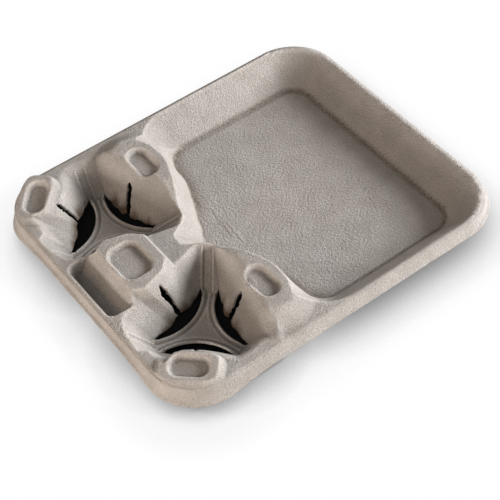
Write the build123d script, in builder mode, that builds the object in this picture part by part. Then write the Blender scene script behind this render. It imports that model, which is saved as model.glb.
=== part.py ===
"""Moulded paper-pulp carrier: a deep food compartment and two cup pockets in one shell.

Millimetres. X runs along the tray, from the cup end (-X) to the food end (+X).
Z is up. The origin is on the surface that the tray rests on, under its middle.
The shell is an upper form with a lower form taken out of it. Both come from one
function, and the lower one is the upper one moved in by the thickness of the pulp.
"""

import os
from math import atan2, cos, degrees, radians, sin, tan

from build123d import *

# Overall sizes, measured at the crest of the rolled rim
crest_length = 287.0
crest_width = 241.0
crest_height = 28.0
wall = 2.2
cup_end_corner = 36.0
food_end_corner = 38.0

# Rim: a steep skirt and a narrow lip turned out at its foot
skirt_depth = 8.0
skirt_run = 2.1
lip_reach = 2.4
crest_flat = 3.0

# Food compartment: its floor, and how far each wall leans out on its way to the crest
food_length = 128.0
food_width = 187.0
food_wall_run = 24.0
divider_run = 13.5
food_corner = 12.0
divider_corner = 20.0

# Ramp from the food compartment up between the cups: points back from the divider
ramp_floor = ((-5.0, 62.0), (0.0, 62.0), (13.0, 25.0), (19.0, 6.0))
ramp_crest = ((-5.0, 68.0), (15.0, 56.0), (36.0, 18.0), (51.0, 4.0))

# Cup pockets: waist is from the middle to a lobe, reach from the middle to an arm's end
cup_inset = 57.0
cup_spacing = 121.0
cup_turn = -13.5
foot_waist = 17.5
crest_waist = 31.0
foot_reach = 37.0
crest_reach = 52.5
foot_arm = 10.0
crest_arm = 9.0

# Crescent openings under the lobes, and the slit up the middle of each lobe
gap_waist = 12.0
tab_waist = 22.5
crescent_tip = 24.7
crescent_chord = 58.0
slit_width = 1.4
slit_reach = 31.0
slit_overlap = 2.0

# Raised pads on the deck: place from the cup end and from the middle, size at the top
lobe_rise = 9.0
lobe_pad = (101.5, 72.0, 26.0, 40.0)
lobe_slope_run = 12.0
plateau_rise = 8.0
plateau_pad = (44.0, 0.0, 38.0, 56.0)
plateau_slope_run = 6.0
corner_rise = 3.5
corner_pad = (23.0, 97.0, 20.0, 36.0)
corner_slope_run = 5.0
corner_turn = 42.0
pad_roundness = 0.75
corner_roundness = 0.95

# Dimples in the pads, and the trough along the cup end
dimple_depth = 3.0
dimple_slope_run = 2.5
lobe_dimple = (101.5, 74.0, 12.0, 26.0)
corner_dimple = (22.0, 97.6, 12.0, 24.0)
plateau_dimple = (45.0, 0.0, 28.0, 34.0)
dimple_roundness = 0.95
trough_depth = 10.0
trough_outer = 4.0
trough_width = 10.0
trough_length = 48.0
trough_inner_run = 6.5
trough_outer_run = 1.2
trough_end_run = 4.5
trough_roundness = 0.95

cup_end = -crest_length / 2
food_end = crest_length / 2
floor = wall
depth = crest_height - floor
top = crest_height + lobe_rise + wall
lean = (top - floor) / depth
divider = food_end - crest_flat - food_wall_run - food_length
lobe_step = 360 / 3
lobe_angles = [cup_turn + lobe_step * lobe for lobe in range(3)]


def spread(rise, run, inset):
    """How far a leaning wall's section moves out when its face moves in by inset."""
    return inset * tan(atan2(rise, run) / 2)


def rounded(z, x0, x1, width, low_corner, high_corner):
    """A rectangle from x0 to x1 at height z, with its own corner radius at each end."""
    with BuildSketch(Plane.XY.offset(z)) as plan:
        with Locations(((x0 + x1) / 2, 0)):
            Rectangle(x1 - x0, width)
        fillet(plan.vertices().group_by(Axis.X)[0], low_corner)
        fillet(plan.vertices().group_by(Axis.X)[-1], high_corner)
    return plan.sketch


def crest_outline(z, grow):
    """The tray's plan at height z, grown outwards from the crest line."""
    return rounded(
        z,
        cup_end - grow,
        food_end + grow,
        crest_width + 2 * grow,
        cup_end_corner + grow,
        food_end_corner + grow,
    )


def food_hollow(inset):
    """The hollow of the food compartment, cut off by the leaning wall of the divider."""
    low = floor - inset
    grow = spread(depth, food_wall_run, inset)
    divider_grow = spread(depth, divider_run, inset)
    end = divider + food_length + grow
    wall_lean = degrees(atan2(food_wall_run, depth))
    across = (divider - divider_grow, 0, low)
    with BuildPart() as hollow:
        plan = rounded(low, cup_end, end, food_width + 2 * grow, food_corner, food_corner + grow)
        extrude(plan, amount=top - floor, taper=-wall_lean)
        split(bisect_by=Plane(origin=across, x_dir=(0, 1, 0), z_dir=(depth, 0, divider_run)))
        fillet(hollow.faces().sort_by(Axis.X)[0].edges().sort_by(Axis.Y)[0], divider_corner)
        fillet(hollow.faces().sort_by(Axis.X)[0].edges().sort_by(Axis.Y)[-1], divider_corner)
    return hollow.part


def ramp_section(z, share, grow):
    """The ramp's section, a channel that narrows away from the food compartment."""
    side = []
    for (floor_back, floor_half), (crest_back, crest_half) in zip(ramp_floor, ramp_crest):
        back = floor_back + (crest_back - floor_back) * share
        half = floor_half + (crest_half - floor_half) * share
        side.append((divider - back, half))
    with BuildSketch(Plane.XY.offset(z)) as plan:
        with BuildLine():
            Polyline(side + [(x, -y) for x, y in reversed(side)], close=True)
        make_face()
        if grow:
            offset(amount=grow, kind=Kind.INTERSECTION)
    return plan.sketch


def in_pocket(side, along, across, angle):
    """A point of a pocket, from lengths along and across a direction through its middle."""
    turn = radians(angle)
    x = along * cos(turn) - across * sin(turn)
    y = along * sin(turn) + across * cos(turn)
    return cup_end + cup_inset + x, side * (cup_spacing / 2 - y)


def pocket_section(z, side, share, grow):
    """A pocket's section: three lobe walls, and the ends of the three arms between them."""
    waist = foot_waist + (crest_waist - foot_waist) * share + grow
    reach = foot_reach + (crest_reach - foot_reach) * share + grow
    half_arm = (foot_arm + (crest_arm - foot_arm) * share) / 2 + grow
    with BuildSketch(Plane.XY.offset(z)) as plan:
        with BuildLine():
            for angle in lobe_angles:
                arm = angle + lobe_step / 2
                before = in_pocket(side, reach, half_arm, arm - lobe_step)
                after = in_pocket(side, reach, -half_arm, arm)
                ThreePointArc(before, in_pocket(side, waist, 0, angle), after)
                Line(after, in_pocket(side, reach, half_arm, arm))
        make_face()
    return plan.sketch


def crescent(side, angle):
    """The opening between a lobe's free edge and the floor's star."""
    tips = [in_pocket(side, crescent_tip, s * crescent_chord / 2, angle) for s in (-1, 1)]
    with BuildSketch() as plan:
        with BuildLine():
            ThreePointArc(tips[0], in_pocket(side, gap_waist, 0, angle), tips[1])
            ThreePointArc(tips[1], in_pocket(side, tab_waist, 0, angle), tips[0])
        make_face()
    return plan.sketch


def slit(side, angle):
    """The narrow cut up the middle of a lobe."""
    half = slit_width / 2
    foot = tab_waist - slit_overlap
    ends = ((foot, -half), (slit_reach, -half), (slit_reach, half), (foot, half))
    with BuildSketch() as plan:
        with BuildLine():
            Polyline([in_pocket(side, *end, angle) for end in ends], close=True)
        make_face()
    return plan.sketch


def pad_plan(z, pad, side, turn, grow, roundness):
    """The plan of a pad or a dimple at height z; a roundness of 1 makes its ends half circles."""
    inset, middle, length, width = pad
    corner = roundness * min(length, width) / 2
    with BuildSketch(Plane.XY.offset(z)) as plan:
        with Locations(Location((cup_end + inset, side * middle), side * turn)):
            RectangleRounded(length + 2 * grow, width + 2 * grow, corner + grow)
    return plan.sketch


def raise_pad(pad, side, turn, rise, run, roundness, inset):
    """A raised pad, leaning in from the deck to its flat top, on a straight foot in the deck."""
    grow = spread(rise, run, inset)
    deck = crest_height - inset
    foot = pad_plan(deck, pad, side, turn, run - grow, roundness)
    extrude(foot, amount=-wall)
    extrude(foot, amount=rise, taper=degrees(atan2(run, rise)))


def sink_dimple(pad, side, turn, rise, inset):
    """A shallow hollow in a pad's top, cut on past that top."""
    grow = spread(dimple_depth, dimple_slope_run, inset)
    bottom = crest_height - inset + rise - dimple_depth
    foot = pad_plan(bottom, pad, side, turn, grow, dimple_roundness)
    slope = degrees(atan2(dimple_slope_run, dimple_depth))
    extrude(foot, amount=2 * dimple_depth, taper=-slope, mode=Mode.SUBTRACT)


def sink_trough(inset):
    """The trough between the rim and the plateau, steep on its outer side."""
    grow = spread(trough_depth, trough_inner_run, inset)
    outer_grow = spread(trough_depth, trough_outer_run, inset)
    bottom = crest_height - inset - trough_depth
    sections = []
    for z in (bottom, top - inset):
        share = (z - bottom) / trough_depth
        outer = cup_end + trough_outer - trough_outer_run * share - outer_grow
        inner = cup_end + trough_outer + trough_width + trough_inner_run * share + grow
        width = trough_length + 2 * (trough_end_run * share + grow)
        corner = trough_roundness * trough_width / 2
        sections.append(rounded(z, outer, inner, width, corner, corner))
    loft(sections, ruled=True, mode=Mode.SUBTRACT)


def skirt_and_core(inset):
    """Everything under the deck, out to the skirt and the lip."""
    lip_top = crest_height - skirt_depth
    lip_foot = lip_top - wall
    grow = spread(skirt_depth, skirt_run, inset)
    lean_in = degrees(atan2(skirt_run, skirt_depth))
    extrude(crest_outline(lip_top - inset, skirt_run - grow), amount=skirt_depth, taper=lean_in)
    if inset:
        extrude(crest_outline(-wall, skirt_run + 2 * lip_reach), amount=lip_foot + wall)
    else:
        extrude(crest_outline(0, -crest_flat), amount=lip_top)
        extrude(crest_outline(lip_foot, skirt_run + lip_reach), amount=wall)


def form(inset):
    """The solid under the tray's upper face, moved in from that face by inset."""
    low = floor - inset
    high = top - inset
    ramp_grow = spread(depth, ramp_crest[-1][0] - ramp_floor[-1][0], inset)
    pocket_grow = spread(depth, crest_waist - foot_waist, inset)
    hollow = food_hollow(inset)
    with BuildPart() as body:
        skirt_and_core(inset)
        for side in (-1, 1):
            raise_pad(lobe_pad, side, 0, lobe_rise, lobe_slope_run, pad_roundness, inset)
            raise_pad(
                corner_pad, side, -corner_turn, corner_rise, corner_slope_run, corner_roundness, inset
            )
        raise_pad(plateau_pad, 1, 0, plateau_rise, plateau_slope_run, pad_roundness, inset)
        add(hollow, mode=Mode.SUBTRACT)
        ramp = (ramp_section(low, 0, ramp_grow), ramp_section(high, lean, ramp_grow))
        loft(ramp, ruled=True, mode=Mode.SUBTRACT)
        for side in (-1, 1):
            foot = pocket_section(low, side, 0, pocket_grow)
            mouth = pocket_section(high, side, lean, pocket_grow)
            loft((foot, mouth), ruled=True, mode=Mode.SUBTRACT)
            sink_dimple(lobe_dimple, side, 0, lobe_rise, inset)
            sink_dimple(corner_dimple, side, -corner_turn, corner_rise, inset)
        sink_dimple(plateau_dimple, 1, 0, plateau_rise, inset)
        sink_trough(inset)
    return body.part


upper = form(0)
lower = form(wall)

with BuildPart() as tray:
    add(upper)
    add(lower, mode=Mode.SUBTRACT)
    for side in (-1, 1):
        for angle in lobe_angles:
            extrude(crescent(side, angle), amount=crest_height, mode=Mode.SUBTRACT)
            extrude(slit(side, angle), amount=crest_height, mode=Mode.SUBTRACT)

os.makedirs("parts", exist_ok=True)
tray.part.label = "tray"
export_step(tray.part, "parts/tray.step")
print("solids", len(tray.part.solids()), "volume", round(tray.part.volume))
print("size", tray.part.bounding_box())
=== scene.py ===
# %% [markdown]
# # A carrier of moulded paper pulp
#
# The real thing is one thin shell. Wet paper fibre is sucked onto a wire mould, pressed and
# dried, and then the openings under the cups are torn through. So the model follows the
# mould: one function says how high the upper face stands over every point of the plan, that
# face is meshed once, and a modifier gives it the thickness of the pulp.

import math
from collections import namedtuple

import bpy
import numpy as np
from mathutils import Matrix, Vector, noise
from mathutils.geometry import delaunay_2d_cdt


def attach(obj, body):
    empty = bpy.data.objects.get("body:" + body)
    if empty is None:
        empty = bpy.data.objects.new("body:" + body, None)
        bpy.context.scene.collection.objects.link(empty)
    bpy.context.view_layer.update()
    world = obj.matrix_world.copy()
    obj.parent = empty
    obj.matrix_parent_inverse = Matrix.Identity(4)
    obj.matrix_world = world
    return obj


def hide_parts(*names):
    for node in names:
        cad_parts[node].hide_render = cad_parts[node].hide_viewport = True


MM = 0.001

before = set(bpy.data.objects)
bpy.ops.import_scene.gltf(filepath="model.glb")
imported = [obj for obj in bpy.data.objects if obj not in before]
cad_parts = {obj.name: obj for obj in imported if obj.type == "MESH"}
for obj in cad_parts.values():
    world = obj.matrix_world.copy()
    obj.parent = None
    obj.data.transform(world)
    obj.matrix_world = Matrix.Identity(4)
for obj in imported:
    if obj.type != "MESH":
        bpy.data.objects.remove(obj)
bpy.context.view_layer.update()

# %% [markdown]
# ## The camera
#
# The picture was taken with a long lens, from high above one corner of the cup end. The camera
# is made first, because every later choice is judged through it. It could be moved about by
# eye, but its place is easier to correct when it is worked out from a point on the tray, the
# distance to it, and three angles. The lens then makes the tray fill the frame as it does in
# the photograph.

# %% Camera
AIM = Vector((-28.9, -40.4, 28.0)) * MM
CAMERA_DISTANCE = 959.5 * MM
CAMERA_AZIMUTH = math.radians(-33.4)
CAMERA_ELEVATION = math.radians(49.3)
CAMERA_ROLL = math.radians(-4.6)
CAMERA_LENS = 97.2

camera_data = bpy.data.cameras.new("camera")
camera_data.lens = CAMERA_LENS
camera_data.sensor_width = 36.0
camera_data.clip_start = 0.01
camera = bpy.data.objects.new("camera", camera_data)
bpy.context.scene.collection.objects.link(camera)
bpy.context.scene.camera = camera
turn = Matrix.Rotation(CAMERA_AZIMUTH, 4, "Z")
tilt = Matrix.Rotation(math.pi / 2 - CAMERA_ELEVATION, 4, "X")
roll = Matrix.Rotation(CAMERA_ROLL, 4, "Z")
back = Matrix.Translation((0, 0, CAMERA_DISTANCE))
camera.matrix_world = Matrix.Translation(AIM) @ turn @ tilt @ roll @ back
print("camera", [round(v, 4) for v in camera.matrix_world.translation])

# %% [markdown]
# ## Soft joins
#
# A wire mould has no sharp corners, so every slope runs into the next one in a small curve. A
# bevel could round a finished mesh, but it needs an edge to follow, and here the slopes cross
# on lines that are never drawn. So the rounding is in the heights: `soft_min` keeps the lower
# of two faces and rounds the line where they cross, and `soft_max` keeps the higher one. Both
# take the size of the rounding in millimetres of height.
#
# All shapes below are numbers in millimetres, on whole arrays of points at once. One half of
# the tray mirrors the other, so most of them take `side`, the size of y, in place of y.


# %% Soft joins, steps and humps
def soft_min(a, b, size):
    """The lower of two faces, rounded where they cross."""
    share = np.clip(0.5 + 0.5 * (b - a) / size, 0, 1)
    return b * (1 - share) + a * share - size * share * (1 - share)


def soft_max(a, b, size):
    """The higher of two faces, rounded where they cross."""
    return -soft_min(-a, -b, size)


def ease(start, end, value):
    """A smooth step from 0 at the start to 1 at the end."""
    share = np.clip((value - start) / (end - start), 0, 1)
    return share * share * (3 - 2 * share)


def summed_steps(value, steps):
    """The sum of smooth steps, each given by its size, its start and its end."""
    return sum(size * ease(start, end, value) for size, start, end in steps)


def hump(value, width):
    """1 at zero, and falling away smoothly on both sides."""
    return np.exp(-((value / width) ** 2))


def turned(x, y, angle):
    """How far along a direction a point lies, and how far across it."""
    c = math.cos(math.radians(angle))
    s = math.sin(math.radians(angle))
    return x * c + y * s, y * c - x * s


print("two faces that cross at 10 mm, rounded by 2 mm:", soft_min(10.0, 10.0, 2.0), "mm")

# %% [markdown]
# ## The plan
#
# The crest of the rolled rim is a rectangle with round corners. Everything else is placed
# from it, so the first helper gives the distance inwards from the crest.

# %% Plan of the crest
HALF_LENGTH = 143.5
HALF_WIDTH = 120.5
CREST = 28.0
CUP_CORNER = 36.0
FOOD_CORNER = 38.0


def inside_rectangle(x, y, half_x, half_y, corner):
    """How far a point is inside a rectangle with round corners."""
    dx = abs(x) - half_x + corner
    dy = abs(y) - half_y + corner
    past = np.hypot(np.maximum(dx, 0), np.maximum(dy, 0))
    return corner - past - np.minimum(np.maximum(dx, dy), 0)


def inside_crest(x, y):
    corner = np.where(x < 0, CUP_CORNER, FOOD_CORNER)
    return inside_rectangle(x, y, HALF_LENGTH, HALF_WIDTH, corner)


print("crest", 2 * HALF_LENGTH, "by", 2 * HALF_WIDTH, "mm, at", CREST, "mm")

# %% [markdown]
# ## The food compartment
#
# It is a flat floor with leaning walls. Three walls rise to the rim. The fourth is the divider:
# behind each cup it is steep, and between the cups it lies back into a ramp. A bevelled box
# would give three of the walls but not the fourth, so all four are heights over the plan. The
# place of the divider's foot and its slope change in smooth steps from the middle to the
# sides. At each end the whole face sweeps forward into the side wall, and its foot does so
# sooner than the rest.

# %% Food compartment
FOOD_FLOOR = 2.2
FOOD_END = 118.0
FOOD_HALF_WIDTH = 95.0
FOOD_CORNER_FOOT = 17.0
END_WALL_RUN = 22.5
SIDE_WALL_RUN = 22.5
FOOD_DEPTH = CREST - FOOD_FLOOR
FOOD_FLOOR_JOIN = 1.9

RAMP_FOOT = -38.0
FOOT_STEPS = [(6.0, 3, 18), (14.0, 10, 58), (5.2, 46, 70), (-2.5, 84, 100)]
RAMP_SLOPE = 1.02
SLOPE_STEPS = [(0.6, 4, 17), (0.75, 15, 50)]
SWEEP_RADIUS = 29.5
FACE_SWEEP_FROM = 90.0
FOOT_SWEEP_FROM = 72.0
FOOT_SWEEP_WIDTH = 24.0
DIVIDER_JOIN = 5.0
JOIN_STEPS = [(8.0, 62, 92)]


def sweep(side, start, width):
    """How far the divider comes forward, on an arc, where it meets the side wall."""
    past = np.clip(side - start, 0, width)
    return SWEEP_RADIUS - np.sqrt(SWEEP_RADIUS**2 - past**2)


def divider(x, side):
    """The leaning face between the food and the cups, as a height."""
    foot = RAMP_FOOT + summed_steps(side, FOOT_STEPS)
    foot += sweep(side, FACE_SWEEP_FROM, SWEEP_RADIUS)
    forward = sweep(side, FOOT_SWEEP_FROM, FOOT_SWEEP_WIDTH)
    slope = RAMP_SLOPE + summed_steps(side, SLOPE_STEPS)
    return (foot + forward - x) / (1 / slope + forward / FOOD_DEPTH) + FOOD_FLOOR


def food_walls(x, side):
    stretch = END_WALL_RUN / SIDE_WALL_RUN
    half_width = FOOD_HALF_WIDTH * stretch
    past = -inside_rectangle(x, side * stretch, FOOD_END, half_width, FOOD_CORNER_FOOT)
    walls = past * FOOD_DEPTH / END_WALL_RUN + FOOD_FLOOR
    join = DIVIDER_JOIN + summed_steps(side, JOIN_STEPS)
    return soft_max(walls, divider(x, side), join)


def food_compartment(x, side):
    return soft_max(food_walls(x, side), FOOD_FLOOR, FOOD_FLOOR_JOIN)


feet = [round(float(RAMP_FOOT + summed_steps(side, FOOT_STEPS)), 1) for side in (0.0, 60.0)]
print("the divider's foot, in the middle and behind a cup, is at x", feet, "mm")

# %% [markdown]
# ## Raised pads and their dimples
#
# The deck round the cups is stiffened by raised pads: a tall one next to the food behind each
# cup, one in each corner and a broad one between the cups. Each has a shallow dimple pressed
# into its top. They could be modelled one by one, but all are rectangles with round corners,
# whose sides slope over a set width, so one function and a row of sizes make each. The tall
# pad runs out in a long ridge towards the ramp, and the corner pads lean down to the cup end.

# %% Pads
# A pad's middle, half its size, the radius of its corners, its height, the width that its
# sides take, and its turn in degrees. A dimple is the same, pressed in.
Pad = namedtuple("Pad", "middle half corner height slope angle", defaults=[0])
TALL_PAD = Pad((-44, 50), (33, 68), 34, 9.0, 18.0)
BROAD_PAD = Pad((-102, 0), (24, 33), 14, 8.0, 5.0)
CORNER_PAD = Pad((-123.0, 99.0), (16.5, 25.5), 13, 4.4, 6.0, -45)
DIMPLES = [
    Pad((-43, 74), (9.5, 16.5), 9.5, 3.8, 4.2),
    Pad((-122.3, 98.5), (9.5, 15.5), 9, 3.8, 4.2, -44),
    Pad((-103.5, -1), (13.5, 18.5), 10, 3.8, 3.6),
]
CORNER_PAD_LEAN = 0.14
RIDGE_END, RIDGE_FULL = 14, 50


def pad_share(x, side, pad):
    """1 on top of a pad, falling to 0 at its outline."""
    along, across = turned(x - pad.middle[0], side - pad.middle[1], pad.angle)
    return ease(0, pad.slope, inside_rectangle(along, across, *pad.half, pad.corner))


def deck(x, side):
    ridge = ease(RIDGE_END, RIDGE_FULL, side)
    face = CREST + ridge * TALL_PAD.height * pad_share(x, side, TALL_PAD)
    face += BROAD_PAD.height * pad_share(x, side, BROAD_PAD)
    lean = CORNER_PAD_LEAN * (x - CORNER_PAD.middle[0])
    face += (CORNER_PAD.height + lean) * pad_share(x, side, CORNER_PAD)
    for dimple in DIMPLES:
        face -= dimple.height * pad_share(x, side, dimple)
    return face


print("top of a tall pad", round(float(deck(*TALL_PAD.middle)), 1), "mm")

# %% [markdown]
# ## The trough
#
# Between the rim of the cup end and the broad pad lies a short deep trough. It is steep on the
# rim's side and at its ends, and on the pad's side it rises in a hollow curve.

# %% Trough
TROUGH_MIDDLE_X = -125.0
TROUGH_HALF = (16.2, 29.5)
TROUGH_CORNER = 7.0
TROUGH_DEPTH = 10.5
TROUGH_STEEPNESS = 2.6
TROUGH_ABOVE_EDGE = 1.0
TROUGH_CURVE_FROM = -138.0
TROUGH_CURVE = 0.045
TROUGH_SIDE_JOIN = 2.5
TROUGH_BOTTOM_JOIN = 1.0


def trough(x, side):
    """The trough as a face that is far above the deck away from it."""
    bottom = CREST - TROUGH_DEPTH
    inside = inside_rectangle(x - TROUGH_MIDDLE_X, side, *TROUGH_HALF, TROUGH_CORNER)
    steep = CREST + TROUGH_ABOVE_EDGE - TROUGH_STEEPNESS * inside
    hollow = bottom + TROUGH_CURVE * np.maximum(x - TROUGH_CURVE_FROM, 0) ** 2
    return soft_max(soft_max(steep, hollow, TROUGH_SIDE_JOIN), bottom, TROUGH_BOTTOM_JOIN)


line = np.linspace(-141.0, -109.0, 65)
print("bottom of the trough", trough(line, np.zeros(65)).min().round(1), "mm")

# %% [markdown]
# ## The cup pockets
#
# A pocket grips cups of several sizes. Three lobes bulge towards its middle and bend away when
# a cup is pushed in, and three narrow arms run up between them. A Boolean with a cup would cut
# a plain round hollow, so lobes and arms are heights of their own, and the highest one counts.
#
# Seen from above, each level of a lobe's wall is a curve across the lobe's direction. On the
# pocket's floor its waist is nearest to the pocket's middle and its two ends are further out.
# Up to the top all three move outwards, each end to a place of its own. The two lobes beside
# the arm of the cup end are pressed back on that side along a crisp crease, and one has a
# shallow bay on its left as well. The tab is where the torn edge under the lobe lies.
#
# An arm is part of a cone about the pocket's middle, from its foot on the pocket's floor to
# its top on the deck. A strip with raised edges runs up it, and is given by half its width.

# %% Lobes and arms of a pocket
POCKET_X = -86.5
POCKET_Y = 60.5
POCKET_FLOOR = 3.0
POCKET_RISE = CREST - POCKET_FLOOR
POCKET_TURN = -13.5

Lobe = namedtuple("Lobe", "angle top_waist top_left top_right crease bay tab")
LOBES = [
    Lobe(POCKET_TURN, 31.0, 30.0, 30.0, crease=0, bay=0.0, tab=19.6),
    Lobe(POCKET_TURN + 120, 33.4, 32.5, 32.5, crease=1, bay=5.5, tab=20.8),
    Lobe(POCKET_TURN + 240, 35.5, 62.0, 41.0, crease=-1, bay=0.0, tab=23.0),
]

Arm = namedtuple("Arm", "angle foot top strip")
ARMS = [
    Arm(POCKET_TURN + 63.0, foot=32.5, top=57.5, strip=3.3),
    Arm(POCKET_TURN + 180, foot=36.0, top=54.0, strip=2.8),
    Arm(POCKET_TURN + 291.5, foot=34.0, top=49.0, strip=3.0),
]


def pocket_frame(x, side, angle):
    """Lengths along and across a direction from a pocket's middle."""
    return turned(x - POCKET_X, POCKET_Y - side, angle)


print("lobes", len(LOBES), "arms", len(ARMS))

# %% [markdown]
# There is no short formula for the height of a lobe's wall over a point, so it is found by
# halving: is the point in front of the wall at this height, or behind it?

# %% Height of a lobe's wall
FOOT_WAIST = 20.0
FOOT_END = 23.0
FOOT_SPAN, TOP_SPAN = 29.5, 42.0
CREASE_FROM = 2.0
CREASE_SPREAD = 8.0
CREASE_RUN = 8.0
CREASE_BACK = 6.5
BAY_FROM, BAY_FULL = 4, 22
LEAST_SHARE, MOST_SHARE = -1.0, 2.2
HALVINGS = 20


def lobe_share(along, across, lobe):
    """How far up its wall a lobe passes over a point: 0 at the pocket's floor, 1 at the crest."""
    low = np.full(along.shape, LEAST_SHARE)
    high = np.full(along.shape, MOST_SHARE)
    top_end = np.where(across < 0, lobe.top_left, lobe.top_right)
    in_bay = lobe.bay * ease(BAY_FROM, BAY_FULL, -across)
    for _ in range(HALVINGS):
        share = (low + high) / 2
        waist = FOOT_WAIST + (lobe.top_waist - FOOT_WAIST) * share
        end = FOOT_END + (top_end - FOOT_END) * share
        span = FOOT_SPAN + (TOP_SPAN - FOOT_SPAN) * share
        wall = waist + (end - waist) * (across / span) ** 2
        past_crease = (across * lobe.crease - CREASE_FROM - CREASE_SPREAD * share) / CREASE_RUN
        wall += CREASE_BACK * share * np.clip(past_crease, 0, 1)
        wall += in_bay * share
        behind = along > wall
        low = np.where(behind, share, low)
        high = np.where(behind, high, share)
    return share


reaches = np.array([20.0, 25.0, 30.0])
shares = lobe_share(reaches, np.zeros(3), LOBES[0])
print("share of a lobe's height, at", reaches, "mm from the pocket's middle:", shares.round(2))

# %% [markdown]
# The pocket's floor is flat and has three arms, because an opening lies under each lobe. Along
# each opening's edge a bead is raised, with a groove beside it. They could be bumps in the
# material, but they are large enough to catch the light from every side, so they are shape.

# %% Floor of a pocket
GAP_WAIST = 12.0
GAP_RADIUS = 39.0
BEAD_HEIGHT, BEAD_PLACE, BEAD_WIDTH = 1.4, 1.3, 0.9
GROOVE_DEPTH, GROOVE_PLACE, GROOVE_WIDTH = 0.75, 3.6, 1.0


def past_gap(along, across):
    """Distance from an opening's pressed edge towards the middle of the pocket."""
    return np.hypot(along - GAP_WAIST - GAP_RADIUS, across) - GAP_RADIUS


def pocket_floor(x, side):
    """The three-armed floor, with a bead and a groove pressed along each opening."""
    face = np.full_like(x, POCKET_FLOOR)
    for lobe in LOBES:
        past = past_gap(*pocket_frame(x, side, lobe.angle))
        face += BEAD_HEIGHT * hump(past - BEAD_PLACE, BEAD_WIDTH)
        face -= GROOVE_DEPTH * hump(past - GROOVE_PLACE, GROOVE_WIDTH)
    return face


print("bead", BEAD_HEIGHT, "mm high, groove", GROOVE_DEPTH, "mm deep")

# %% [markdown]
# The arms come after the lobes, because each arm's strip is pressed into what is already there.

# %% Arms, and the whole pocket
STRIP_DEPTH = 2.0
STRIP_SOFTNESS = 0.3
STRIP_EDGE_HEIGHT, STRIP_EDGE_OUT, STRIP_EDGE_WIDTH = 0.6, 0.9, 0.75
STRIP_START = (-2, 1)
STRIP_END = (-3, 0)
BEHIND_MIDDLE = 2.5
LOBE_JOIN = 1.6
ARM_JOIN = 3.0
POCKET_FLOOR_JOIN = 2.0
FAR_BELOW = -99.0


def arm_face(reach, aside, arm):
    """The cone of an arm, which drops away behind the pocket's middle."""
    outward = np.hypot(reach, aside) - arm.foot
    cone = POCKET_FLOOR + POCKET_RISE * outward / (arm.top - arm.foot)
    return cone - BEHIND_MIDDLE * np.maximum(-reach, 0)


def arm_strip(reach, aside, arm):
    """The height that the strip of an arm adds: less in the strip, more along its edges."""
    away = abs(aside) - arm.strip
    pressed = STRIP_DEPTH * (1 - ease(-STRIP_SOFTNESS, STRIP_SOFTNESS, away))
    raised = STRIP_EDGE_HEIGHT * hump(away - STRIP_EDGE_OUT, STRIP_EDGE_WIDTH)
    begun = ease(arm.foot + STRIP_START[0], arm.foot + STRIP_START[1], reach)
    ended = ease(arm.top + STRIP_END[0], arm.top + STRIP_END[1], reach)
    return (raised - pressed) * begun * (1 - ended)


def pocket(x, side):
    walls = np.full_like(x, FAR_BELOW)
    for lobe in LOBES:
        share = lobe_share(*pocket_frame(x, side, lobe.angle), lobe)
        walls = soft_max(walls, POCKET_FLOOR + POCKET_RISE * share, LOBE_JOIN)
    for arm in ARMS:
        reach, aside = pocket_frame(x, side, arm.angle)
        walls = soft_max(walls, arm_face(reach, aside, arm), ARM_JOIN)
        walls += arm_strip(reach, aside, arm)
    return soft_max(walls, pocket_floor(x, side), POCKET_FLOOR_JOIN)


line = POCKET_X + np.array([0.0, 20.0, 50.0])
print("pocket at x", line, "is", pocket(line, np.full(3, POCKET_Y)).round(1), "mm high")

# %% [markdown]
# ## The whole upper face
#
# The deck is the highest face, and each hollow cuts into it. The lowest face wins at each
# point, with a soft edge. A pocket's edge is softest behind the cup, where the lobe rolls over
# into the tall pad, and softer by the rim and by the corners than elsewhere.

# %% Upper face
PLAIN_LIP = 2.0
LIP_BEHIND_CUP = 15.0
BEHIND_CUP_X, BEHIND_CUP_SIDE = (-76, -56), (22, 50)
LIP_BY_RIM = 6.0
BY_CORNER_X, BY_CORNER_SIDE = (-100, -115), (66, 84)
BY_RIM_SIDE = (86, 104)
TROUGH_LIP = 2.5
FOOD_LIP = 1.2


def pocket_lip(x, side):
    """How softly the edge of a pocket is rounded."""
    behind_cup = ease(*BEHIND_CUP_X, x) * ease(*BEHIND_CUP_SIDE, side)
    by_corner = ease(*BY_CORNER_X, x) * ease(*BY_CORNER_SIDE, side)
    by_rim = ease(*BY_RIM_SIDE, side) * (1 - behind_cup)
    return PLAIN_LIP + LIP_BEHIND_CUP * behind_cup + LIP_BY_RIM * np.maximum(by_corner, by_rim)


def upper_face(x, y):
    side = abs(y)
    face = soft_min(deck(x, side), trough(x, side), TROUGH_LIP)
    face = soft_min(face, pocket(x, side), pocket_lip(x, side))
    return soft_min(face, food_compartment(x, side), FOOD_LIP)


line = np.array([-135.0, -100.0, -50.0, 50.0])
print("face in the middle, at x", line, "is", upper_face(line, np.zeros(4)).round(1), "mm high")

# %% [markdown]
# ## The torn openings
#
# Under each lobe a crescent of pulp is missing, and a slit runs up the lobe, so that it can
# bend. The crescent's inner edge, along the three-armed floor, was pressed clean. The
# lobe's own edge and the slit were torn, so they wander. No two openings are alike, because
# each has its own seed. A Boolean could cut them out of the finished shell, but it would leave
# long thin triangles, so they are drawn here, and their outlines become edges of the mesh.

# %% Outlines of the openings
HALF_CHORD = 27.0
EDGE_STEP = 0.8
TEAR_SIZE, TEAR = 7.0, 1.8
FRAY_SIZE, FRAY = 1.7, 0.45
SLIT_FOOT = 0.8
SLIT_CLEAR = 1.2
SLIT_END_SHARE = 0.6
SLIT_SWAY_SIZE, SLIT_SWAY = 4.0, 1.6
SLIT_FRAY_SIZE, SLIT_FRAY = 0.9, 1.5

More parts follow.
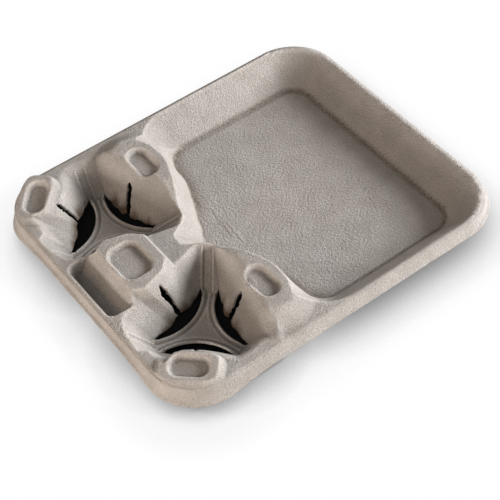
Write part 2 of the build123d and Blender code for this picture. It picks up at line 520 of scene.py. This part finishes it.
# How far along its lobe a slit reaches, half its width, and how much it leans to one side.
# The rows are for the two pockets, by the sign of y.
Slit = namedtuple("Slit", "top half lean")
SLITS = {
    -1: [Slit(31.2, 2.8, 0.1), Slit(34.8, 2.6, 0.2), Slit(36.8, 2.0, 0.05)],
    1: [Slit(30.6, 2.7, -0.42), Slit(33.5, 1.6, -0.1), Slit(37.4, 2.2, -0.1)],
}


def wander(place, seed, size, amount):
    """A smooth random shift along an edge."""
    return amount * noise.noise(Vector((place / size, seed * 7.3, 0.5)))


def pressed_edge(across):
    """How far along its lobe's direction the clean edge lies."""
    return GAP_WAIST + GAP_RADIUS - math.sqrt(GAP_RADIUS**2 - across**2)


def torn_edge(across, lobe, seed):
    """How far along its lobe's direction the torn edge lies."""
    ragged = wander(across, seed, TEAR_SIZE, TEAR) + wander(across, seed + 3, FRAY_SIZE, FRAY)
    tip_share = (across / HALF_CHORD) ** 2
    tip = pressed_edge(HALF_CHORD)
    return lobe.tab * (1 - tip_share) + tip * tip_share + ragged * (1 - tip_share)


def slit_outline(lobe, slit, seed):
    """The slit's two sides, from the torn edge up to its top and down again."""
    foot = lobe.tab + SLIT_FOOT
    steps = int((slit.top - foot) / EDGE_STEP)
    up, down = [], []
    for i in range(steps):
        rise = foot + (slit.top - foot) * i / steps
        middle = slit.lean * (rise - foot) + wander(rise, seed + 11, SLIT_SWAY_SIZE, SLIT_SWAY)
        belly = math.sin(math.pi * (i + 1) / (steps + 1))
        half = slit.half * (SLIT_END_SHARE + (1 - SLIT_END_SHARE) * belly)
        up.append((rise, middle + half + wander(rise, seed + 13, SLIT_FRAY_SIZE, SLIT_FRAY)))
        down.append((rise, middle - half + wander(rise, seed + 17, SLIT_FRAY_SIZE, SLIT_FRAY)))
    return up + [(slit.top, (up[-1][1] + down[-1][1]) / 2)] + down[::-1]


def opening_outline(lobe, slit, seed):
    """The outline of one opening, as points along and across its lobe's direction."""
    steps = int(2 * HALF_CHORD / EDGE_STEP)
    points = []
    for i in range(steps):
        across = -HALF_CHORD + 2 * HALF_CHORD * i / steps
        points.append((pressed_edge(across), across))
    for i in range(steps + 1):
        across = HALF_CHORD - 2 * HALF_CHORD * i / steps
        if abs(across) > slit.half + SLIT_CLEAR:
            points.append((torn_edge(across, lobe, seed), across))
        elif points[-1][1] > slit.half + SLIT_CLEAR:
            points.extend(slit_outline(lobe, slit, seed))
    return points


def in_plan(along, across, angle, sign):
    """A point of a pocket's frame in the tray's plan; the sign is that of y."""
    c = math.cos(math.radians(angle))
    s = math.sin(math.radians(angle))
    return POCKET_X + along * c - across * s, sign * (POCKET_Y - along * s - across * c)


openings = []
for sign in (-1, 1):
    for number, lobe in enumerate(LOBES):
        outline = opening_outline(lobe, SLITS[sign][number], seed=number + 3 * (sign > 0))
        openings.append([in_plan(*point, lobe.angle, sign) for point in outline])
print("openings", len(openings), "points", sum(len(outline) for outline in openings))

# %% [markdown]
# ## Wrinkles
#
# Where the wet pulp was stretched over the foot of the walls, a few fine wrinkles stayed: two
# in the compartment's floor and one in its side wall. Each is a line in the plan, raised by
# less than half a millimetre. A bump in the material could show them too, but then the mesh
# on its own would lack them.

# %% Wrinkles
WRINKLES = [
    [(-17.9, 44.6), (-18.8, 36.8), (-14.7, 29.5), (-13.9, 17.7), (-14.1, 2.8), (-15.9, -12.1)],
    [(-15.8, 24.6), (-16.5, 10.8), (-18.4, -3.1)],
    [(36.9, -97.0), (34.7, -102.4), (31.2, -110.3)],
]
WRINKLE_HEIGHT = 0.32
WRINKLE_HALF = 0.7
FAR_AWAY = 99.0


def wrinkle_distance(x, y):
    """Distance from the nearest wrinkle."""
    found = np.full(x.shape, FAR_AWAY)
    for line in WRINKLES:
        for (x0, y0), (x1, y1) in zip(line, line[1:]):
            length = math.hypot(x1 - x0, y1 - y0)
            along = ((x - x0) * (x1 - x0) + (y - y0) * (y1 - y0)) / length
            nearest = np.clip(along, 0, length) / length
            away = np.hypot(x - x0 - (x1 - x0) * nearest, y - y0 - (y1 - y0) * nearest)
            found = np.minimum(found, away)
    return found


def wrinkles(x, y):
    return WRINKLE_HEIGHT * hump(wrinkle_distance(x, y), WRINKLE_HALF)


print("wrinkles", len(WRINKLES), "each", WRINKLE_HEIGHT, "mm high")

# %% [markdown]
# ## Meshing the plan
#
# A square grid would cut across the openings. Instead the plan is filled with points in a
# honeycomb: wide apart on the compartment's floor, closer round the cups, and finest along
# torn edges, beads, strips and wrinkles. The outlines go in as edges that the triangles have
# to keep.

# %% Where the mesh is finest
# A band is how far from its edge the mesh stays fine, and a margin how far past it.
TORN_BAND = 6.5
TORN_TIP = 22.9
TIP_MARGIN = 1.5
TIP_LIFT = 5.0
BEAD_BAND = 5.0
BEAD_MARGIN = 1.0
STRIP_BAND = 2.0
WRINKLE_BAND = 2.0
BAND_MARGIN = 2.0
END_MARGIN = 3.0


def torn_distance(x, y):
    """Distance up a lobe from its torn edge, more at the edge's tips, and large elsewhere."""
    found = np.full(x.shape, FAR_AWAY)
    for lobe in LOBES:
        along, across = pocket_frame(x, abs(y), lobe.angle)
        share = np.clip(across / HALF_CHORD, -1, 1) ** 2
        up = along - lobe.tab * (1 - share) - TORN_TIP * share
        near = (abs(across) < HALF_CHORD - TIP_MARGIN) & (up > -END_MARGIN)
        found = np.where(near, np.minimum(found, up + TIP_LIFT * share**2), found)
    return found


def bead_distance(x, y):
    """Distance from the nearest opening's pressed edge to a point of the pocket's floor."""
    found = np.full(x.shape, FAR_AWAY)
    for lobe in LOBES:
        along, across = pocket_frame(x, abs(y), lobe.angle)
        past = past_gap(along, across)
        near = (abs(across) < HALF_CHORD + END_MARGIN) & (past > -BEAD_MARGIN)
        found = np.where(near, np.minimum(found, past), found)
    return found


def near_strip(x, y):
    """Whether a point is on the edge of one of the strips that run up the arms."""
    found = np.zeros(x.shape, bool)
    for arm in ARMS:
        reach, aside = pocket_frame(x, abs(y), arm.angle)
        along_strip = (reach > arm.foot - END_MARGIN) & (reach < arm.top + END_MARGIN)
        found |= along_strip & (abs(abs(aside) - arm.strip - STRIP_SOFTNESS) < STRIP_BAND)
    return found


def needs_fine_mesh(x, y):
    by_tear = abs(torn_distance(x, y) - TORN_BAND / 2) < TORN_BAND / 2 + BAND_MARGIN
    by_bead = bead_distance(x, y) < BEAD_BAND
    by_wrinkle = wrinkle_distance(x, y) < WRINKLE_BAND
    return by_tear | by_bead | near_strip(x, y) | by_wrinkle


print("finest within", TORN_BAND, "mm of a torn edge and", BEAD_BAND, "mm of a pressed one")

# %% Points of the plan
CREST_BAND = 1.0
CUP_SPACING = 1.15
FOOD_SPACING = 2.5
FINE_SPACING = 0.75
FOOD_SIDE_FROM = -6.0
RIM_STEP = 2.4
CLEARANCE = 0.6

# The corners of the rim, in the order of the loop round it: the signs of x and y, the
# radius, and the angle at which the loop comes to the corner.
CORNERS = [
    (1, 1, FOOD_CORNER, 90),
    (1, -1, FOOD_CORNER, 0),
    (-1, -1, CUP_CORNER, 270),
    (-1, 1, CUP_CORNER, 180),
]


def honeycomb(spacing):
    row = spacing * math.sqrt(3) / 2
    xs = np.arange(-HALF_LENGTH, HALF_LENGTH, spacing)
    ys = np.arange(-HALF_WIDTH, HALF_WIDTH, row)
    x, y = np.meshgrid(xs, ys)
    x = x + spacing / 2 * (np.arange(len(ys)) % 2)[:, None]
    return x.ravel(), y.ravel()


def in_polygon(x, y, outline):
    inside = np.zeros(x.shape, bool)
    for (x0, y0), (x1, y1) in zip(outline, outline[1:] + outline[:1]):
        if y0 == y1:
            continue
        crosses = (y0 > y) != (y1 > y)
        inside ^= crosses & (x < (x1 - x0) * (y - y0) / (y1 - y0) + x0)
    return inside


def near_outlines(x, y, gap):
    """Whether a point is so close to an opening's outline that it would make a sliver."""
    close = np.zeros(x.shape, bool)
    for outline in openings:
        for px, py in outline:
            close |= (x - px) ** 2 + (y - py) ** 2 < gap**2
    return close


def crest_loop(inward):
    """Points round the rim at one distance inwards of the crest, and their outward directions."""
    points = []
    for x_sign, y_sign, corner, start in CORNERS:
        middle = Vector((x_sign * (HALF_LENGTH - corner), y_sign * (HALF_WIDTH - corner)))
        turns = int(corner * math.pi / 2 / RIM_STEP)
        for i in range(turns + 1):
            angle = math.radians(start - 90 * i / turns)
            out = Vector((math.cos(angle), math.sin(angle)))
            points.append((middle + out * corner, out))
    loop = []
    for (here, out), (after, _) in zip(points, points[1:] + points[:1]):
        runs = max(1, round((after - here).length / RIM_STEP))
        for i in range(runs):
            spot = here.lerp(after, i / runs)
            loop.append((spot - out * inward, out))
    return loop


loop = crest_loop(CREST_BAND)
spots = [Vector(point) for point, _ in loop]
edges = [(i, (i + 1) % len(loop)) for i in range(len(loop))]
for outline in openings:
    first = len(spots)
    spots += [Vector(point) for point in outline]
    edges += [(first + i, first + (i + 1) % len(outline)) for i in range(len(outline))]
for zone, spacing in (("cups", CUP_SPACING), ("food", FOOD_SPACING), ("fine", FINE_SPACING)):
    x, y = honeycomb(spacing)
    fine = needs_fine_mesh(x, y)
    keep = fine
    if zone != "fine":
        keep = ((x > FOOD_SIDE_FROM) == (zone == "food")) & ~fine
    keep &= inside_crest(x, y) > CREST_BAND + spacing * CLEARANCE
    x, y = x[keep], y[keep]
    keep = ~near_outlines(x, y, min(spacing, EDGE_STEP) * CLEARANCE)
    for outline in openings:
        keep &= ~in_polygon(x, y, outline)
    spots += [Vector(point) for point in zip(x[keep], y[keep])]
print("plan points", len(spots))

# %% Triangles of the plan
SAME_PLACE = 1e-4
ON_LOOP = 0.05

plan, _, triangles, _, _, _ = delaunay_2d_cdt(spots, edges, [], 0, SAME_PLACE)
plan = np.array([tuple(point) for point in plan])
triangles = np.array([tuple(t) for t in triangles])
middles = plan[triangles].mean(axis=1)
keep = inside_crest(middles[:, 0], middles[:, 1]) > CREST_BAND - ON_LOOP
for outline in openings:
    keep &= ~in_polygon(middles[:, 0], middles[:, 1], outline)
triangles = triangles[keep]
print("plan triangles", len(triangles))

# %% [markdown]
# ## Lifting the plan to the mould's face
#
# Every point goes up to the face. Felted pulp dries a little uneven, so a slow, shallow
# waviness is added, and the mould left three small marks. Along a torn edge the layers of
# fibre let go one after another, which leaves small steps that wander; how many layers a
# point has lost is kept for the wall and for the material.

# %% Lift
WALL = 2.2
UNEVEN_SIZE, UNEVEN_AMOUNT = 24.0, 0.35
RIPPLE_SIZE, RIPPLE_SHARE = 8.0, 0.4
UNEVEN_MIDDLE = 0.8
LAYER_REACHES = (3.8, 2.6, 1.7, 0.8)
LAYER_HEIGHT = 0.4
LAYER_WANDER_SIZE, LAYER_WANDER = 6.0, 2.6
LAYER_FRAY_SIZE, LAYER_FRAY_SHARE = 1.6, 0.35

# Each mark of the mould: its place, its size along and across, its height and its turn.
Nub = namedtuple("Nub", "x y long wide height angle")
NUBS = [
    Nub(-59.5, 105.0, 2.6, 2.2, 1.6, 0),
    Nub(-58.0, -110.5, 3.2, 6.5, 2.0, -30),
    Nub(-140.0, -56.0, 2.5, 5.5, 1.6, 20),
]


def wandering(x, y, size, seed):
    """A smooth random value over the plan, with features of about one size."""
    return np.array([noise.noise(Vector((px / size, py / size, seed))) for px, py in zip(x, y)])


def unevenness(x, y):
    waves = wandering(x, y, UNEVEN_SIZE, 1.7) + RIPPLE_SHARE * wandering(x, y, RIPPLE_SIZE, 4.1)
    return UNEVEN_AMOUNT * np.maximum(waves + UNEVEN_MIDDLE, 0)


def torn_layers(x, y):
    """How many layers have torn away from the top, as a share of all that can."""
    distance = torn_distance(x, y)
    where = np.flatnonzero(distance < TORN_BAND + BAND_MARGIN)
    shift = wandering(x[where], y[where], LAYER_WANDER_SIZE, 2.2)
    shift += LAYER_FRAY_SHARE * wandering(x[where], y[where], LAYER_FRAY_SIZE, 5.1)
    here = distance[where] + LAYER_WANDER * shift
    layers = np.zeros(x.shape)
    for reach in LAYER_REACHES:
        layers[where] += (here < reach) / len(LAYER_REACHES)
    return layers


def nubs(x, y):
    face = np.zeros(x.shape)
    for nub in NUBS:
        along, across = turned(x - nub.x, y - nub.y, nub.angle)
        face += nub.height * hump(along, nub.long) * hump(across, nub.wide)
    return face


x, y = plan[:, 0], plan[:, 1]
layers = torn_layers(x, y)
lost = layers * LAYER_HEIGHT * len(LAYER_REACHES)
z = upper_face(x, y) + unevenness(x, y) + nubs(x, y) + wrinkles(x, y) - lost
print("face from", round(z.min(), 1), "to", round(z.max(), 1), "mm")

# %% [markdown]
# ## The rim
#
# Outside its crest the rim rolls over, drops in a steep skirt and ends in a narrow lip. That
# is too steep to lift from a plan, so it is a strip of its own: the same profile, set at each
# point of the crest. The lip hangs lower round the two corners of the cup end, and its edge
# wanders a little.

# %% Rim
ROLL_RADIUS = 2.2
ROLL_ANGLES = (0, 25, 50, 75)
ROLL_BACK = 0.45
SKIRT_TOP_OUT, SKIRT_TOP_DOWN = 1.15, 1.6
SKIRT_OUT, SKIRT_DEPTH = 2.1, 7.0
SKIRT_SHARES = (0.35, 0.65, 0.9)
LIP_OUT, LIP_SAG = 2.4, 1.2
LIP_SHARES = (0.35, 0.7, 1.0)
LIP_CURVE = 1.5
CORNER_DROP = 5.0
CORNER_SAG_SHARE = 0.35
CORNER_FULL, CORNER_NONE = 22.0, 75.0
WAVE_SIZE, WAVE = 9, 0.3
FLUTTER_SIZE, FLUTTER = 3, 0.12


def corner_share(point):
    """1 at the corners of the cup end, fading to 0 along the sides and the end."""
    to_corner = math.hypot(point[0] + HALF_LENGTH, abs(point[1]) - HALF_WIDTH)
    return float(1 - ease(CORNER_FULL, CORNER_NONE, to_corner))


def rim_noise(point, size, seed):
    return noise.noise(Vector((point[0] / size, point[1] / size, seed)))


def rim_profile(point):
    """Pairs of outward distance and height across the rim, from the crest to the lip's edge."""
    drop = corner_share(point) * CORNER_DROP
    depth = SKIRT_DEPTH + drop
    wave = WAVE * rim_noise(point, WAVE_SIZE, 3.3)
    flutter = FLUTTER * rim_noise(point, FLUTTER_SIZE, 8.3)
    profile = []
    for angle in ROLL_ANGLES:
        a = math.radians(angle)
        profile.append((ROLL_RADIUS * (math.sin(a) - ROLL_BACK), -ROLL_RADIUS * (1 - math.cos(a))))
    for share in SKIRT_SHARES:
        out = SKIRT_TOP_OUT + (SKIRT_OUT - SKIRT_TOP_OUT) * share
        profile.append((out, -SKIRT_TOP_DOWN - (depth - SKIRT_TOP_DOWN) * share))
    sag = LIP_SAG + drop * CORNER_SAG_SHARE
    for share in LIP_SHARES:
        out = SKIRT_OUT + (LIP_OUT + wave + flutter) * share
        profile.append((out, -depth - sag * share**LIP_CURVE + wave * share))
    return profile


rim_points = []
for point, out in loop:
    crest_point = point + out * CREST_BAND
    profile = rim_profile(crest_point)
    for outward, height in profile:
        spot = crest_point + out * outward
        rim_points.append((spot.x, spot.y, CREST + height))
per_row = len(profile)
print("rim points", len(rim_points))

# %% One mesh from both
face_points = np.column_stack([x, y, z])
points = np.vstack([face_points, rim_points])
first = len(face_points)
lookup = {}
for i, (px, py) in enumerate(plan):
    lookup[(round(px, 3), round(py, 3))] = i
inner = [lookup[(round(point.x, 3), round(point.y, 3))] for point, _ in loop]
faces = [tuple(int(i) for i in t) for t in triangles]
count = len(loop)
for i in range(count):
    after = (i + 1) % count
    here_row = [inner[i]] + [first + i * per_row + j for j in range(per_row)]
    after_row = [inner[after]] + [first + after * per_row + j for j in range(per_row)]
    for j in range(per_row):
        faces.append((here_row[j], after_row[j], after_row[j + 1], here_row[j + 1]))

mesh = bpy.data.meshes.new("tray_shell")
mesh.from_pydata([tuple(p * MM) for p in points], [], faces)
mesh.validate()
tray = bpy.data.objects.new("tray_shell", mesh)
bpy.context.scene.collection.objects.link(tray)
for polygon in mesh.polygons:
    polygon.use_smooth = True
print("faces before the wall", len(mesh.polygons))

# %% [markdown]
# ## The thickness of the pulp
#
# The underside could be a face of its own, but it follows the upper one everywhere. So
# Solidify makes it, and closes every edge. The pulp thins out towards the lip and along torn
# edges, and each point has its own share of the full thickness.

# %% Wall
THIN_LIP = 0.6

kept = np.ones(len(points))
kept[:first] = (WALL - lost) / WALL
for i in range(count):
    for j in range(per_row):
        kept[first + i * per_row + j] = 1 - (1 - THIN_LIP) * j / (per_row - 1)
group = tray.vertex_groups.new(name="thickness")
for level in np.unique(kept.round(2)):
    members = np.flatnonzero(kept.round(2) == level)
    group.add([int(i) for i in members], float(level), "REPLACE")

solidify = tray.modifiers.new("wall", "SOLIDIFY")
solidify.thickness = WALL * MM
solidify.offset = -1
solidify.use_even_offset = True
solidify.use_quality_normals = True
solidify.vertex_group = "thickness"
print("thinnest", round(WALL * kept.min(), 2), "mm")

# %% [markdown]
# ## Marks for the material
#
# Four values at each point tell the material what the pulp went through there, and where it
# has painted shade and highlight:
#
# - `torn`: the share of layers that tore away
# - `pebbled`: 1 on the compartment's floor, which is coarser than the rest
# - `fold`: painted shade, 1 in the fold along the foot of the compartment's walls, and less on
#   the floor in front of the divider
# - `bend`: how sharply the face is bent, which paints a highlight on edges and shade in folds

# %% Marks
FOLD_SIZE = 1.6
FOLD_HEIGHT = 0.4
DIVIDER_SHADE = 0.8
DIVIDER_SHADE_SIZE = 16.0
DIVIDER_SHADE_SIDE = (15, 50)
FLOOR_FADE = (0.8, 4.0)
FOOD_MARKS_FROM = -36.0
BELOW_CREST = 4.0
BEND_STEP = 0.9
BEND_FULL = 0.32


# The colour uses this to paint a highlight on sharp edges and shade in sharp folds.
def bend(x, y):
    """How sharply the face is bent: 1 on a sharp edge, -1 in a sharp fold, 0 where it's flat."""
    middle = upper_face(x, y)
    east, west = upper_face(x + BEND_STEP, y), upper_face(x - BEND_STEP, y)
    north, south = upper_face(x, y + BEND_STEP), upper_face(x, y - BEND_STEP)
    steepness = ((east - west) ** 2 + (north - south) ** 2) / (2 * BEND_STEP) ** 2
    turning = (east + west + north + south - 4 * middle) / BEND_STEP**2
    return np.clip(-turning / (1 + steepness) ** 1.5 / BEND_FULL, -1, 1)


side = abs(y)
on_food_side = x > FOOD_MARKS_FROM
on_floor = 1 - ease(FOOD_FLOOR + FLOOR_FADE[0], FOOD_FLOOR + FLOOR_FADE[1], z)
on_floor = on_floor * on_food_side
# Painted shade along the foot of the compartment's walls.
fold = hump(food_walls(x, side) - FOOD_FLOOR - FOLD_HEIGHT, FOLD_SIZE)
before_divider = hump(np.minimum(divider(x, side) - FOOD_FLOOR, 0), DIVIDER_SHADE_SIZE)
# Painted shade also spreads onto the floor in front of the divider.
divider_shade = DIVIDER_SHADE * ease(*DIVIDER_SHADE_SIDE, side) * before_divider * on_floor
fold = np.maximum(fold, divider_shade) * (on_food_side & (z < CREST - BELOW_CREST))
marks = {"torn": layers, "pebbled": on_floor, "fold": fold, "bend": bend(x, y)}
no_marks_on_rim = np.zeros(len(rim_points))
for name, values in marks.items():
    attribute = tray.data.attributes.new(name, "FLOAT", "POINT")
    attribute.data.foreach_set("value", np.append(values, no_marks_on_rim))
print("marks", {name: round(float(values.mean()), 3) for name, values in marks.items()})

# %% [markdown]
# The wall is applied to the mesh, and what would reach below the surface that the tray stands
# on is pressed flat.


# %% Finished shell
def baked(piece):
    """The piece with its modifiers applied to its mesh."""
    graph = bpy.context.evaluated_depsgraph_get()
    result = bpy.data.meshes.new_from_object(piece.evaluated_get(graph))
    piece.modifiers.clear()
    piece.data = result
    return piece


baked(tray)
for vertex in tray.data.vertices:
    vertex.co.z = max(vertex.co.z, 0.0)
print("tray triangles", sum(len(p.vertices) - 2 for p in tray.data.polygons))

# %% [markdown]
# ## The pulp
#
# Moulded pulp is waste paper, soaked, beaten and dried on a wire mould, so it is matt, with no
# gloss at all, and grey-beige. Its fibres are about 0.1 mm thick, too fine to show. What the
# eye sees is how they clump: a felt of grains about 1 mm wide, a coarser pebbling of 2 mm from
# the drying, a speckle of lighter and darker fibre, cloudy patches of tone, and dark flecks of
# printed paper. Sharp edges get a painted highlight and sharp folds a painted shade, a painted
# brown shade lies along the foot of the compartment's walls, and where the pulp was torn, its
# core is browner. An image could show all this, but noises with sizes in millimetres keep the
# right scale everywhere, and the marks say where each tone belongs.


# %% Tools for materials
def linear(hexa):
    """An sRGB hex colour as the linear colour that a shader takes."""
    parts = [int(hexa[i : i + 2], 16) / 255 for i in (1, 3, 5)]
    return [p / 12.92 if p <= 0.04045 else ((p + 0.055) / 1.055) ** 2.4 for p in parts] + [1.0]


def add_node(tree, kind, inputs=(), **settings):
    """Adds a node, sets its properties, and sets or links its inputs."""
    node = tree.nodes.new(kind)
    for name, value in settings.items():
        setattr(node, name, value)
    for name, value in dict(inputs).items():
        if isinstance(value, bpy.types.NodeSocket):
            tree.links.new(value, node.inputs[name])
        else:
            node.inputs[name].default_value = value
    return node


def new_material(name):
    material = bpy.data.materials.new(name)
    material.use_nodes = True
    material.node_tree.nodes.clear()
    return material


print("middle grey in linear light", round(linear("#808080")[0], 3))

# %% Patterns and marks of the pulp
# Each pattern: the width of its grains in millimetres, and its detail.
PATTERNS = {
    "clouds": (16.0, 5.0),
    "speckle": (0.8, 3.0),
    "blotches": (1.3, 2.0),
    "flecks": (2.2, 2.0),
    "felt": (0.9, 1.5),
    "pebbles": (2.1, 1.0),
}

# From which two values to which two a pattern or a mark is stretched. The result is a share
# for clouds, blotches and flecks, a tone for speckle and bend, and a relief for pebbled.
RANGES = {
    "clouds": (0.38, 0.62, 0.0, 1.0),
    "speckle": (0.3, 0.7, 0.75, 1.21),
    # bend's tone is a painted highlight above 1 and a painted shade below 1.
    "bend": (-1.0, 1.0, 0.7, 1.3),
    "blotches": (0.35, 0.62, 0.35, 1.0),
    "flecks": (0.7, 0.76, 0.0, 0.6),
    "pebbled": (0.0, 1.0, 0.5 * MM, 0.8 * MM),
}
RANGE_INPUTS = ("From Min", "From Max", "To Min", "To Max")


def pulp_values(tree):
    """The patterns and marks that the pulp is made of, by name, each in its range."""
    place = add_node(tree, "ShaderNodeTexCoord").outputs["Object"]
    values = {}
    for name in marks:
        values[name] = add_node(tree, "ShaderNodeAttribute", attribute_name=name).outputs["Fac"]
    for name, (size, detail) in PATTERNS.items():
        inputs = {"Vector": place, "Scale": 1000.0 / size, "Detail": detail}
        values[name] = add_node(tree, "ShaderNodeTexNoise", inputs).outputs["Fac"]
    for name, limits in RANGES.items():
        inputs = {"Value": values[name], **dict(zip(RANGE_INPUTS, limits))}
        values[name] = add_node(tree, "ShaderNodeMapRange", inputs).outputs["Result"]
    return values


print("patterns", len(PATTERNS), "marks", len(marks))

# %% Pulp material
PULP_LIGHT = "#C2BCB7"
PULP_DARK = "#B9B3AD"
# The browner core of torn pulp, and also the colour of the painted shade in folds.
PULP_CORE_AND_FOLD_SHADE = "#6B5D4F"
FLECK = "#5A4E42"
PULP_ROUGHNESS = 0.95
PULP_SPECULAR = 0.2
FELT_RELIEF = 0.9 * MM


def pulp_tone(tree, values):
    """The colour: clouds, speckle, painted shading of bends and folds, flecks and torn core."""
    clouds = {0: values["clouds"], 6: linear(PULP_LIGHT), 7: linear(PULP_DARK)}
    tone = add_node(tree, "ShaderNodeMix", clouds, data_type="RGBA").outputs[2]
    # Speckle is the pulp's own grain; bend multiplies in a painted highlight on edges and shade in
    # folds.
    speckle_and_painted_light = {0: values["speckle"], 1: values["bend"]}
    level = add_node(tree, "ShaderNodeMath", speckle_and_painted_light, operation="MULTIPLY").outputs[0]
    scaled = {0: tone, "Scale": level}
    tone = add_node(tree, "ShaderNodeVectorMath", scaled, operation="SCALE").outputs["Vector"]
    # Painted brown shade along the foot of the walls, made blotchy.
    blotched = {0: values["fold"], 1: values["blotches"]}
    painted_fold_shade = add_node(tree, "ShaderNodeMath", blotched, operation="MULTIPLY").outputs[0]
    coats = [(painted_fold_shade, PULP_CORE_AND_FOLD_SHADE), (values["flecks"], FLECK), (values["torn"], PULP_CORE_AND_FOLD_SHADE)]
    for share, colour in coats:
        coat = {0: share, 6: tone, 7: linear(colour)}
        tone = add_node(tree, "ShaderNodeMix", coat, data_type="RGBA").outputs[2]
    return tone


def pulp_material():
    material = new_material("moulded_pulp")
    tree = material.node_tree
    values = pulp_values(tree)
    pebbled = add_node(
        tree,
        "ShaderNodeBump",
        {"Height": values["pebbles"], "Strength": 1.0, "Distance": values["pebbled"]},
    ).outputs["Normal"]
    felted = add_node(
        tree,
        "ShaderNodeBump",
        {"Height": values["felt"], "Strength": 1.0, "Distance": FELT_RELIEF, "Normal": pebbled},
    ).outputs["Normal"]
    shader = add_node(
        tree,
        "ShaderNodeBsdfPrincipled",
        {
            "Base Color": pulp_tone(tree, values),
            "Roughness": PULP_ROUGHNESS,
            "Specular IOR Level": PULP_SPECULAR,
            "Normal": felted,
        },
    )
    add_node(tree, "ShaderNodeOutputMaterial", {"Surface": shader.outputs["BSDF"]})
    return material


tray.data.materials.clear()
tray.data.materials.append(pulp_material())
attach(tray, "root")
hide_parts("tray")
print("materials", [material.name for material in tray.data.materials])

# %% [markdown]
# ## Floor
#
# The tray stands on a plain white floor. A floor that is only lit never comes out white and
# even, so the camera sees one that shines: pure white, with a painted shadow close to the
# tray, and painted shade that is nearly black under the cup end, so that no bright floor shows
# through the openings. To the light it is a matt off-white that throws some of it back up.

# %% Floor
FLOOR_SIZE = 3.0
FLOOR_DROP = 0.2 * MM
FLOOR_COLOUR = "#D8D6D2"
NEAR_TRAY = 40.0 * MM
NEAR_SAMPLES = 8
SHADE_MIDDLE_X = -84.0
SHADE_HALF_X = 50.0
SHADE_HALF_Y = 113.0
SHADE_CORNER = 30.0
SHADE_SOFTNESS = 3.0
SHADE_LEVEL = 0.004


def beyond_shade(tree, place):
    """Nearly 0 under the cup end and 1 outside it: the edge is a rectangle with round corners."""
    middle = (SHADE_MIDDLE_X * MM, 0, 0)
    moved = add_node(tree, "ShaderNodeVectorMath", {0: place, 1: middle}, operation="SUBTRACT")
    parts = add_node(tree, "ShaderNodeSeparateXYZ", {"Vector": moved.outputs[0]}).outputs
    past = {}
    for axis, half in (("X", SHADE_HALF_X), ("Y", SHADE_HALF_Y)):
        value = parts[axis]
        straight = (half - SHADE_CORNER) * MM
        for operation, other in (("ABSOLUTE", 0.0), ("SUBTRACT", straight), ("MAXIMUM", 0.0)):
            node = add_node(tree, "ShaderNodeMath", {0: value, 1: other}, operation=operation)
            value = node.outputs[0]
        past[axis] = value
    joined = add_node(tree, "ShaderNodeCombineXYZ", past).outputs[0]
    distance = add_node(tree, "ShaderNodeVectorMath", {0: joined}, operation="LENGTH")
    start = (SHADE_CORNER - SHADE_SOFTNESS) * MM
    end = (SHADE_CORNER + SHADE_SOFTNESS) * MM
    inputs = {"Value": distance.outputs["Value"]}
    inputs.update(zip(RANGE_INPUTS, (start, end, SHADE_LEVEL, 1.0)))
    return add_node(tree, "ShaderNodeMapRange", inputs).outputs["Result"]


def floor_material():
    material = new_material("floor")
    tree = material.node_tree
    place = add_node(tree, "ShaderNodeTexCoord").outputs["Object"]
    white = {"Distance": NEAR_TRAY, "Color": (1.0, 1.0, 1.0, 1.0)}
    # Ambient occlusion paints a soft shadow on the floor close to the tray.
    near = add_node(tree, "ShaderNodeAmbientOcclusion", white, samples=NEAR_SAMPLES)
    both = {0: near.outputs["AO"], 1: beyond_shade(tree, place)}
    level = add_node(tree, "ShaderNodeMath", both, operation="MULTIPLY").outputs[0]
    shine = add_node(tree, "ShaderNodeEmission", {"Strength": level}).outputs[0]
    matt = add_node(tree, "ShaderNodeBsdfDiffuse", {"Color": linear(FLOOR_COLOUR)}).outputs[0]
    to_camera = add_node(tree, "ShaderNodeLightPath").outputs["Is Camera Ray"]
    surface = add_node(tree, "ShaderNodeMixShader", {0: to_camera, 1: matt, 2: shine}).outputs[0]
    add_node(tree, "ShaderNodeOutputMaterial", {"Surface": surface})
    return material


half = FLOOR_SIZE / 2
corners = [(-half, -half, 0), (half, -half, 0), (half, half, 0), (-half, half, 0)]
floor_mesh = bpy.data.meshes.new("floor")
floor_mesh.from_pydata(corners, [], [(0, 1, 2, 3)])
floor_mesh.materials.append(floor_material())
floor = bpy.data.objects.new("floor", floor_mesh)
floor.location.z = -FLOOR_DROP
bpy.context.scene.collection.objects.link(floor)
print("floor", FLOOR_SIZE, "m")

# %% [markdown]
# ## Light
#
# Three wide lamps light the tray. The key stands low at the food end, on the right of the
# picture, so walls that face it are bright and the others lie in shade. A weak, warm fill
# comes from the cup end. The third lamp stands almost on the floor there, and lights the
# skirt of the cup end without reaching far into the compartment. A dim world fills the rest.

# %% Lights
LAMP_DISTANCE = 1.6
WORLD_COLOUR = (1, 0.98, 0.96, 1)
WORLD_STRENGTH = 0.16


def softbox(name, direction, size, power, colour):
    """A wide lamp that looks at the tray from a direction; size is its width and height."""
    data = bpy.data.lights.new(name, "AREA")
    data.shape = "RECTANGLE"
    data.size, data.size_y = size
    data.energy = power
    data.color = linear(colour)[:3]
    lamp = bpy.data.objects.new(name, data)
    bpy.context.scene.collection.objects.link(lamp)
    away = Vector(direction).normalized()
    facing = away.to_track_quat("Z", "Y").to_matrix().to_4x4()
    lamp.matrix_world = Matrix.Translation(away * LAMP_DISTANCE) @ facing


softbox("key", direction=(0.83, -0.41, 0.38), size=(1.4, 0.6), power=43.0, colour="#FFFFFF")
softbox("fill", direction=(-0.9, -0.05, 0.42), size=(0.9, 0.7), power=5.8, colour="#FFE4CC")
softbox("low", direction=(-0.92, -0.36, 0.05), size=(1.6, 0.25), power=19.5, colour="#FFF6EE")

world = bpy.data.worlds.new("world")
world.use_nodes = True
background = world.node_tree.nodes["Background"]
background.inputs["Color"].default_value = WORLD_COLOUR
background.inputs["Strength"].default_value = WORLD_STRENGTH
bpy.context.scene.world = world
bpy.context.scene.view_settings.view_transform = "Standard"
